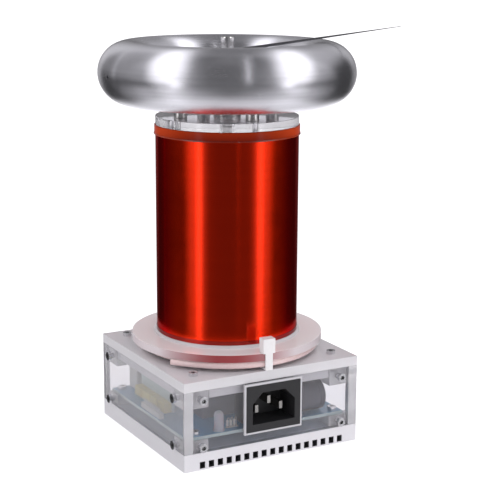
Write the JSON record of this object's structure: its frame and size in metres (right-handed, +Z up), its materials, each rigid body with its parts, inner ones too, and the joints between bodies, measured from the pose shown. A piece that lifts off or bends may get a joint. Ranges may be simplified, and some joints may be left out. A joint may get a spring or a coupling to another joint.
{
  "type": "desktop resonant transformer",
  "caption": "Desktop resonant transformer: clear box case on a finned base, flat primary under a clear disc, tall secondary coil, spun toroid and a swivelling discharge needle.",
  "frame": {"origin": "middle of the underside of the base plate, on the coil axis", "axes": "+Z up along the coil axis; the front panel with the mains inlet faces -Y; +X to the right seen from the front"},
  "size_m": [0.142, 0.1316, 0.2138],
  "materials": {
    "anodised_base": "satin, fine brushed",
    "clear_panel": "clear, polished",
    "frosted_deck": "frosted white",
    "corner_block": "clear, sawn and polished",
    "screw_chrome": "bright",
    "board_blue": "solder mask over glass cloth",
    "inlet_black": "fine moulded grain",
    "inlet_trim_white": "smooth",
    "pin_metal": "polished",
    "lamp_clear": "clear epoxy",
    "capacitor_sleeve": "shrunk sleeve",
    "film_dark": "moulded case",
    "film_yellow": "dipped",
    "header_white": "moulded",
    "core_green": "coated ferrite",
    "epoxy_black": "moulded",
    "control_metal": "pressed",
    "control_plastic": "moulded",
    "tie_nylon": "natural nylon",
    "clear_disc": "clear, polished edge",
    "primary_insulation": "clear sleeve over copper strands",
    "tube_clear": "clear",
    "enamelled_wire": "close-wound enamelled wire under lacquer",
    "lacquer_band": "amber lacquer",
    "spun_aluminium": "spun satin",
    "turned_metal": "turned bright",
    "terminal_chrome": "polished"
  },
  "bodies": {
    "case": {"base_plate": "anodised_base", "base_screws": "screw_chrome", "board_screws": "screw_chrome", "bulk_capacitor_front": "capacitor_sleeve", "bulk_capacitor_rear": "capacitor_sleeve", "cable_tie_front": "tie_nylon", "cable_tie_rear": "tie_nylon", "centre_stud": "turned_metal", "circuit_board": "board_blue", "clamp_washer": "turned_metal", "deck_plate": "frosted_deck", "disc_nuts": "screw_chrome", "disc_screws": "screw_chrome", "disc_spacers": "clear_disc", "driver_board": "board_blue", "driver_capacitors": "film_yellow", "end_disc": "clear_disc", "flange_disc": "clear_disc", "front_panel": "clear_panel", "front_screws": "screw_chrome", "gate_core": "core_green", "indicator_lamp": "lamp_clear", "inlet_housing": "inlet_black", "inlet_pins": "pin_metal", "inlet_trim": "inlet_trim_white", "left_panel": "clear_panel", "left_screws": "screw_chrome", "level_control": "control_metal", "lid_plate": "clear_panel", "lid_screws": "screw_chrome", "lower_block_front_left": "corner_block", "lower_block_front_right": "corner_block", "lower_block_rear_left": "corner_block", "lower_block_rear_right": "corner_block", "mains_filter": "film_yellow", "panel_nuts": "screw_chrome", "pin_header": "header_white", "power_transistors": "epoxy_black", "primary_winding": "primary_insulation", "rear_panel": "clear_panel", "rear_screws": "screw_chrome", "right_panel": "clear_panel", "right_screws": "screw_chrome", "secondary_tube": "tube_clear", "secondary_winding": "enamelled_wire", "signal_socket": "control_plastic", "tank_capacitor_1": "film_dark", "tank_capacitor_2": "film_dark", "tank_capacitor_3": "film_dark", "tank_capacitor_4": "film_dark", "toroid": "spun_aluminium", "toroid_hub": "turned_metal", "upper_block_front_left": "corner_block", "upper_block_front_right": "corner_block", "upper_block_rear_left": "corner_block", "upper_block_rear_right": "corner_block", "winding_band": "lacquer_band"},
    "discharge_terminal": {"needle_post": "terminal_chrome", "discharge_needle": "terminal_chrome"},
    "knob": {"level_knob": "control_plastic"}
  },
  "joints": [
    {"name": "needle_swivel", "type": "hinge", "parent": "case", "child": "discharge_terminal", "pos_m": [0, 0, 0.196], "axis": [0, 0, 1], "continuous": true},
    {"name": "level_turn", "type": "hinge", "parent": "case", "child": "knob", "pos_m": [0.012, 0.05, 0.0254], "axis": [0, 1, 0], "range_deg": [-150, 150]}
  ]
}
